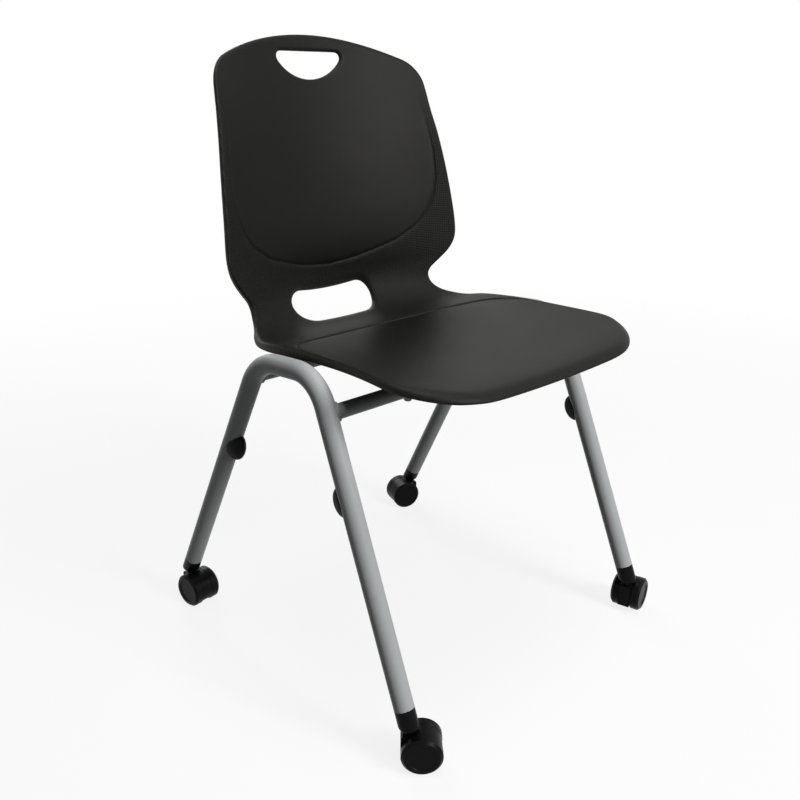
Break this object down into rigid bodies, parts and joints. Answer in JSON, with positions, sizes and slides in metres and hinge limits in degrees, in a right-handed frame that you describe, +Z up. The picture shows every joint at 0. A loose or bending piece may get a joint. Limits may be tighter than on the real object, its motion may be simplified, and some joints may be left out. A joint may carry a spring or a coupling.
{
  "type": "stacking chair on casters",
  "caption": "Armless stacking chair with a one-piece dark plastic seat and back shell, a hand hole and lumbar slot, bent A-shaped tube legs and swivelling twin-wheel casters.",
  "frame": {"origin": "on the floor, in the chair's mid plane, midway between the front and rear leg ends", "axes": "+Z up; -Y the way the sitter faces; +X to the sitter's left"},
  "size_m": [0.5311, 0.5542, 0.817],
  "materials": {
    "shell_plastic": "fine-grained moulded polypropylene",
    "frame_coat": "silver-grey powder coat over steel tube",
    "zinc_steel": "zinc plated",
    "bumper_rubber": "matte moulded",
    "wheel_nylon": "satin moulded nylon",
    "black_nylon": "satin moulded nylon"
  },
  "bodies": {
    "frame": {"front_cross_tube": "frame_coat", "front_left_bumper": "bumper_rubber", "front_left_caster_grip_ring": "zinc_steel", "front_left_caster_stem": "zinc_steel", "front_left_ferrule": "black_nylon", "front_right_bumper": "bumper_rubber", "front_right_caster_grip_ring": "zinc_steel", "front_right_caster_stem": "zinc_steel", "front_right_ferrule": "black_nylon", "left_side_tube": "frame_coat", "rear_cross_tube": "frame_coat", "rear_left_bumper": "bumper_rubber", "rear_left_caster_grip_ring": "zinc_steel", "rear_left_caster_stem": "zinc_steel", "rear_left_ferrule": "black_nylon", "rear_right_bumper": "bumper_rubber", "rear_right_caster_grip_ring": "zinc_steel", "rear_right_caster_stem": "zinc_steel", "rear_right_ferrule": "black_nylon", "right_side_tube": "frame_coat", "saddle_washers": "zinc_steel", "seat_screws": "zinc_steel", "seat_shell": "shell_plastic", "weld_beads": "frame_coat"},
    "front_right_caster": {"front_right_caster_axle": "zinc_steel", "front_right_caster_hood": "black_nylon"},
    "front_right_wheel_a": {"front_right_caster_wheel_a": "wheel_nylon"},
    "front_right_wheel_b": {"front_right_caster_wheel_b": "wheel_nylon"},
    "rear_right_caster": {"rear_right_caster_axle": "zinc_steel", "rear_right_caster_hood": "black_nylon"},
    "rear_right_wheel_a": {"rear_right_caster_wheel_a": "wheel_nylon"},
    "rear_right_wheel_b": {"rear_right_caster_wheel_b": "wheel_nylon"},
    "front_left_caster": {"front_left_caster_axle": "zinc_steel", "front_left_caster_hood": "black_nylon"},
    "front_left_wheel_a": {"front_left_caster_wheel_a": "wheel_nylon"},
    "front_left_wheel_b": {"front_left_caster_wheel_b": "wheel_nylon"},
    "rear_left_caster": {"rear_left_caster_axle": "zinc_steel", "rear_left_caster_hood": "black_nylon"},
    "rear_left_wheel_a": {"rear_left_caster_wheel_a": "wheel_nylon"},
    "rear_left_wheel_b": {"rear_left_caster_wheel_b": "wheel_nylon"}
  },
  "joints": [
    {"name": "front_right_swivel", "type": "hinge", "parent": "frame", "child": "front_right_caster", "pos_m": [-0.23033, -0.2392, 0.04], "axis": [0, 0, 1], "continuous": true},
    {"name": "front_right_wheel_a_spin", "type": "hinge", "parent": "front_right_caster", "child": "front_right_wheel_a", "pos_m": [-0.21932, -0.24939, 0.025], "axis": [0.6794, 0.7337, 0], "continuous": true},
    {"name": "front_right_wheel_b_spin", "type": "hinge", "parent": "front_right_caster", "child": "front_right_wheel_b", "pos_m": [-0.21932, -0.24939, 0.025], "axis": [0.6794, 0.7337, 0], "continuous": true},
    {"name": "rear_right_swivel", "type": "hinge", "parent": "frame", "child": "rear_right_caster", "pos_m": [-0.23508, 0.24083, 0.04], "axis": [0, 0, 1], "continuous": true},
    {"name": "rear_right_wheel_a_spin", "type": "hinge", "parent": "rear_right_caster", "child": "rear_right_wheel_a", "pos_m": [-0.23351, 0.22591, 0.025], "axis": [0.9945, 0.1045, 0], "continuous": true},
    {"name": "rear_right_wheel_b_spin", "type": "hinge", "parent": "rear_right_caster", "child": "rear_right_wheel_b", "pos_m": [-0.23351, 0.22591, 0.025], "axis": [0.9945, 0.1045, 0], "continuous": true},
    {"name": "front_left_swivel", "type": "hinge", "parent": "frame", "child": "front_left_caster", "pos_m": [0.23033, -0.2392, 0.04], "axis": [0, 0, 1], "continuous": true},
    {"name": "front_left_wheel_a_spin", "type": "hinge", "parent": "front_left_caster", "child": "front_left_wheel_a", "pos_m": [0.24494, -0.2358, 0.025], "axis": [-0.2267, 0.974, 0], "continuous": true},
    {"name": "front_left_wheel_b_spin", "type": "hinge", "parent": "front_left_caster", "child": "front_left_wheel_b", "pos_m": [0.24494, -0.2358, 0.025], "axis": [-0.2267, 0.974, 0], "continuous": true},
    {"name": "rear_left_swivel", "type": "hinge", "parent": "frame", "child": "rear_left_caster", "pos_m": [0.23508, 0.24083, 0.04], "axis": [0, 0, 1], "continuous": true},
    {"name": "rear_left_wheel_a_spin", "type": "hinge", "parent": "rear_left_caster", "child": "rear_left_wheel_a", "pos_m": [0.22096, 0.24591, 0.025], "axis": [-0.3387, -0.9409, 0], "continuous": true},
    {"name": "rear_left_wheel_b_spin", "type": "hinge", "parent": "rear_left_caster", "child": "rear_left_wheel_b", "pos_m": [0.22096, 0.24591, 0.025], "axis": [-0.3387, -0.9409, 0], "continuous": true}
  ]
}
